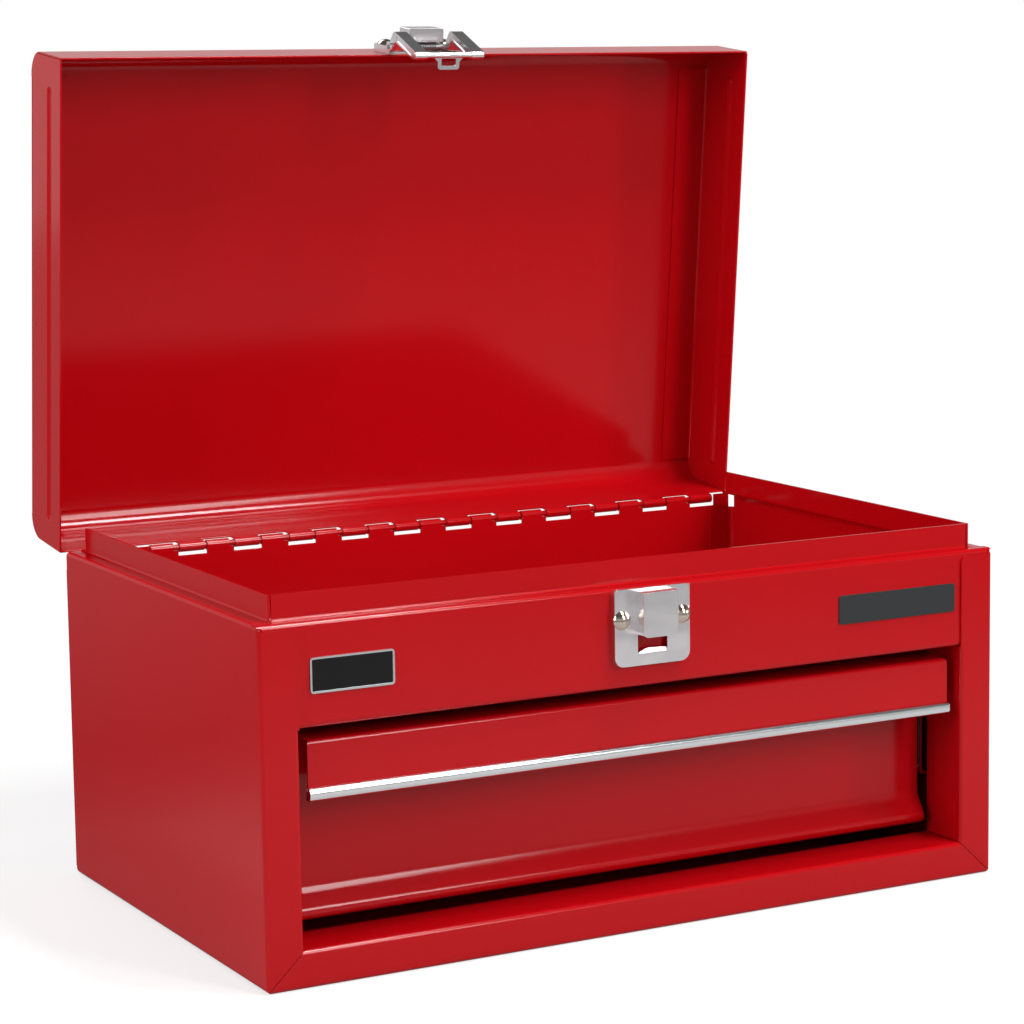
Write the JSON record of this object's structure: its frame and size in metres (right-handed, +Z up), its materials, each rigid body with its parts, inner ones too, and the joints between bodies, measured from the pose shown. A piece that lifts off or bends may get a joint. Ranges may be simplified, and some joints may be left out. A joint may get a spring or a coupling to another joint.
{
  "type": "portable tool box with drawers",
  "caption": "Portable sheet steel tool box with a hinged lid over a tray, a sliding drawer with a hooded pull, a draw latch and a folding carrying handle.",
  "frame": {"origin": "centre of the underside", "axes": "+X to the right of the drawer front, +Y to the hinge side, +Z up"},
  "size_m": [0.41, 0.3261, 0.4421],
  "materials": {
    "red_enamel": "glossy red powder coat on sheet steel",
    "nickel_plate": "bright nickel plate",
    "rivet_nickel": "warm nickel-plated rivets",
    "zinc_steel": "zinc-plated steel",
    "polished_aluminium": "polished",
    "black_enamel": "satin black",
    "grip_rubber": "matt black"
  },
  "bodies": {
    "body": {"outer_shell": "red_enamel", "front_panel": "red_enamel", "rear_panel": "red_enamel", "tray_floor": "red_enamel", "hinge_pin": "red_enamel", "slide_bracket_left": "red_enamel", "slide_bracket_right": "red_enamel", "slide_outer_left": "zinc_steel", "slide_outer_right": "zinc_steel", "catch_plate": "nickel_plate", "catch_rivets": "rivet_nickel"},
    "cage_left": {"ball_cage_left": "zinc_steel"},
    "cage_right": {"ball_cage_right": "zinc_steel"},
    "drawer": {"slide_inner_left": "zinc_steel", "slide_inner_right": "zinc_steel", "drawer_tray": "red_enamel", "drawer_front": "red_enamel", "drawer_trim": "polished_aluminium"},
    "lid": {"lid_cover": "red_enamel", "lid_end_left": "red_enamel", "lid_end_right": "red_enamel", "latch_base": "nickel_plate", "latch_housing": "nickel_plate", "latch_rivets": "rivet_nickel", "latch_spring": "zinc_steel", "handle_bracket_left": "black_enamel", "handle_bracket_right": "black_enamel"},
    "latch_pivot": {"latch_pin": "zinc_steel"},
    "bail": {"latch_bail": "nickel_plate"},
    "handle": {"handle_bail": "zinc_steel", "handle_grip": "grip_rubber"}
  },
  "joints": [
    {"name": "lid_hinge", "type": "hinge", "parent": "body", "child": "lid", "pos_m": [0, 0.1296, 0.168], "axis": [1, 0, 0], "range_deg": [0, 84.2]},
    {"name": "drawer_slide", "type": "slide", "parent": "body", "child": "drawer", "axis": [0, -1, 0], "range_m": [0, 0.15]},
    {"name": "cage_left_slide", "type": "slide", "parent": "body", "child": "cage_left", "axis": [0, -1, 0], "range_m": [0, 0.075]},
    {"name": "cage_right_slide", "type": "slide", "parent": "body", "child": "cage_right", "axis": [0, -1, 0], "range_m": [0, 0.075]},
    {"name": "latch_lift", "type": "hinge", "parent": "lid", "child": "latch_pivot", "pos_m": [0, 0.10787, 0.43135], "axis": [-1, 0, 0], "range_deg": [0, 34]},
    {"name": "bail_hinge", "type": "hinge", "parent": "latch_pivot", "child": "bail", "pos_m": [0, 0.10787, 0.43135], "axis": [-1, 0, 0], "range_deg": [-28, 45]},
    {"name": "handle_hinge", "type": "hinge", "parent": "lid", "child": "handle", "pos_m": [0, 0.17421, 0.3028], "axis": [1, 0, 0], "range_deg": [0, 180]}
  ],
  "couplings": [
    {"joint": "cage_left_slide", "follows": "drawer_slide", "ratio": 0.5},
    {"joint": "cage_right_slide", "follows": "drawer_slide", "ratio": 0.5},
    {"joint": "latch_lift", "follows": "lid_hinge", "ratio": 0.4}
  ]
}
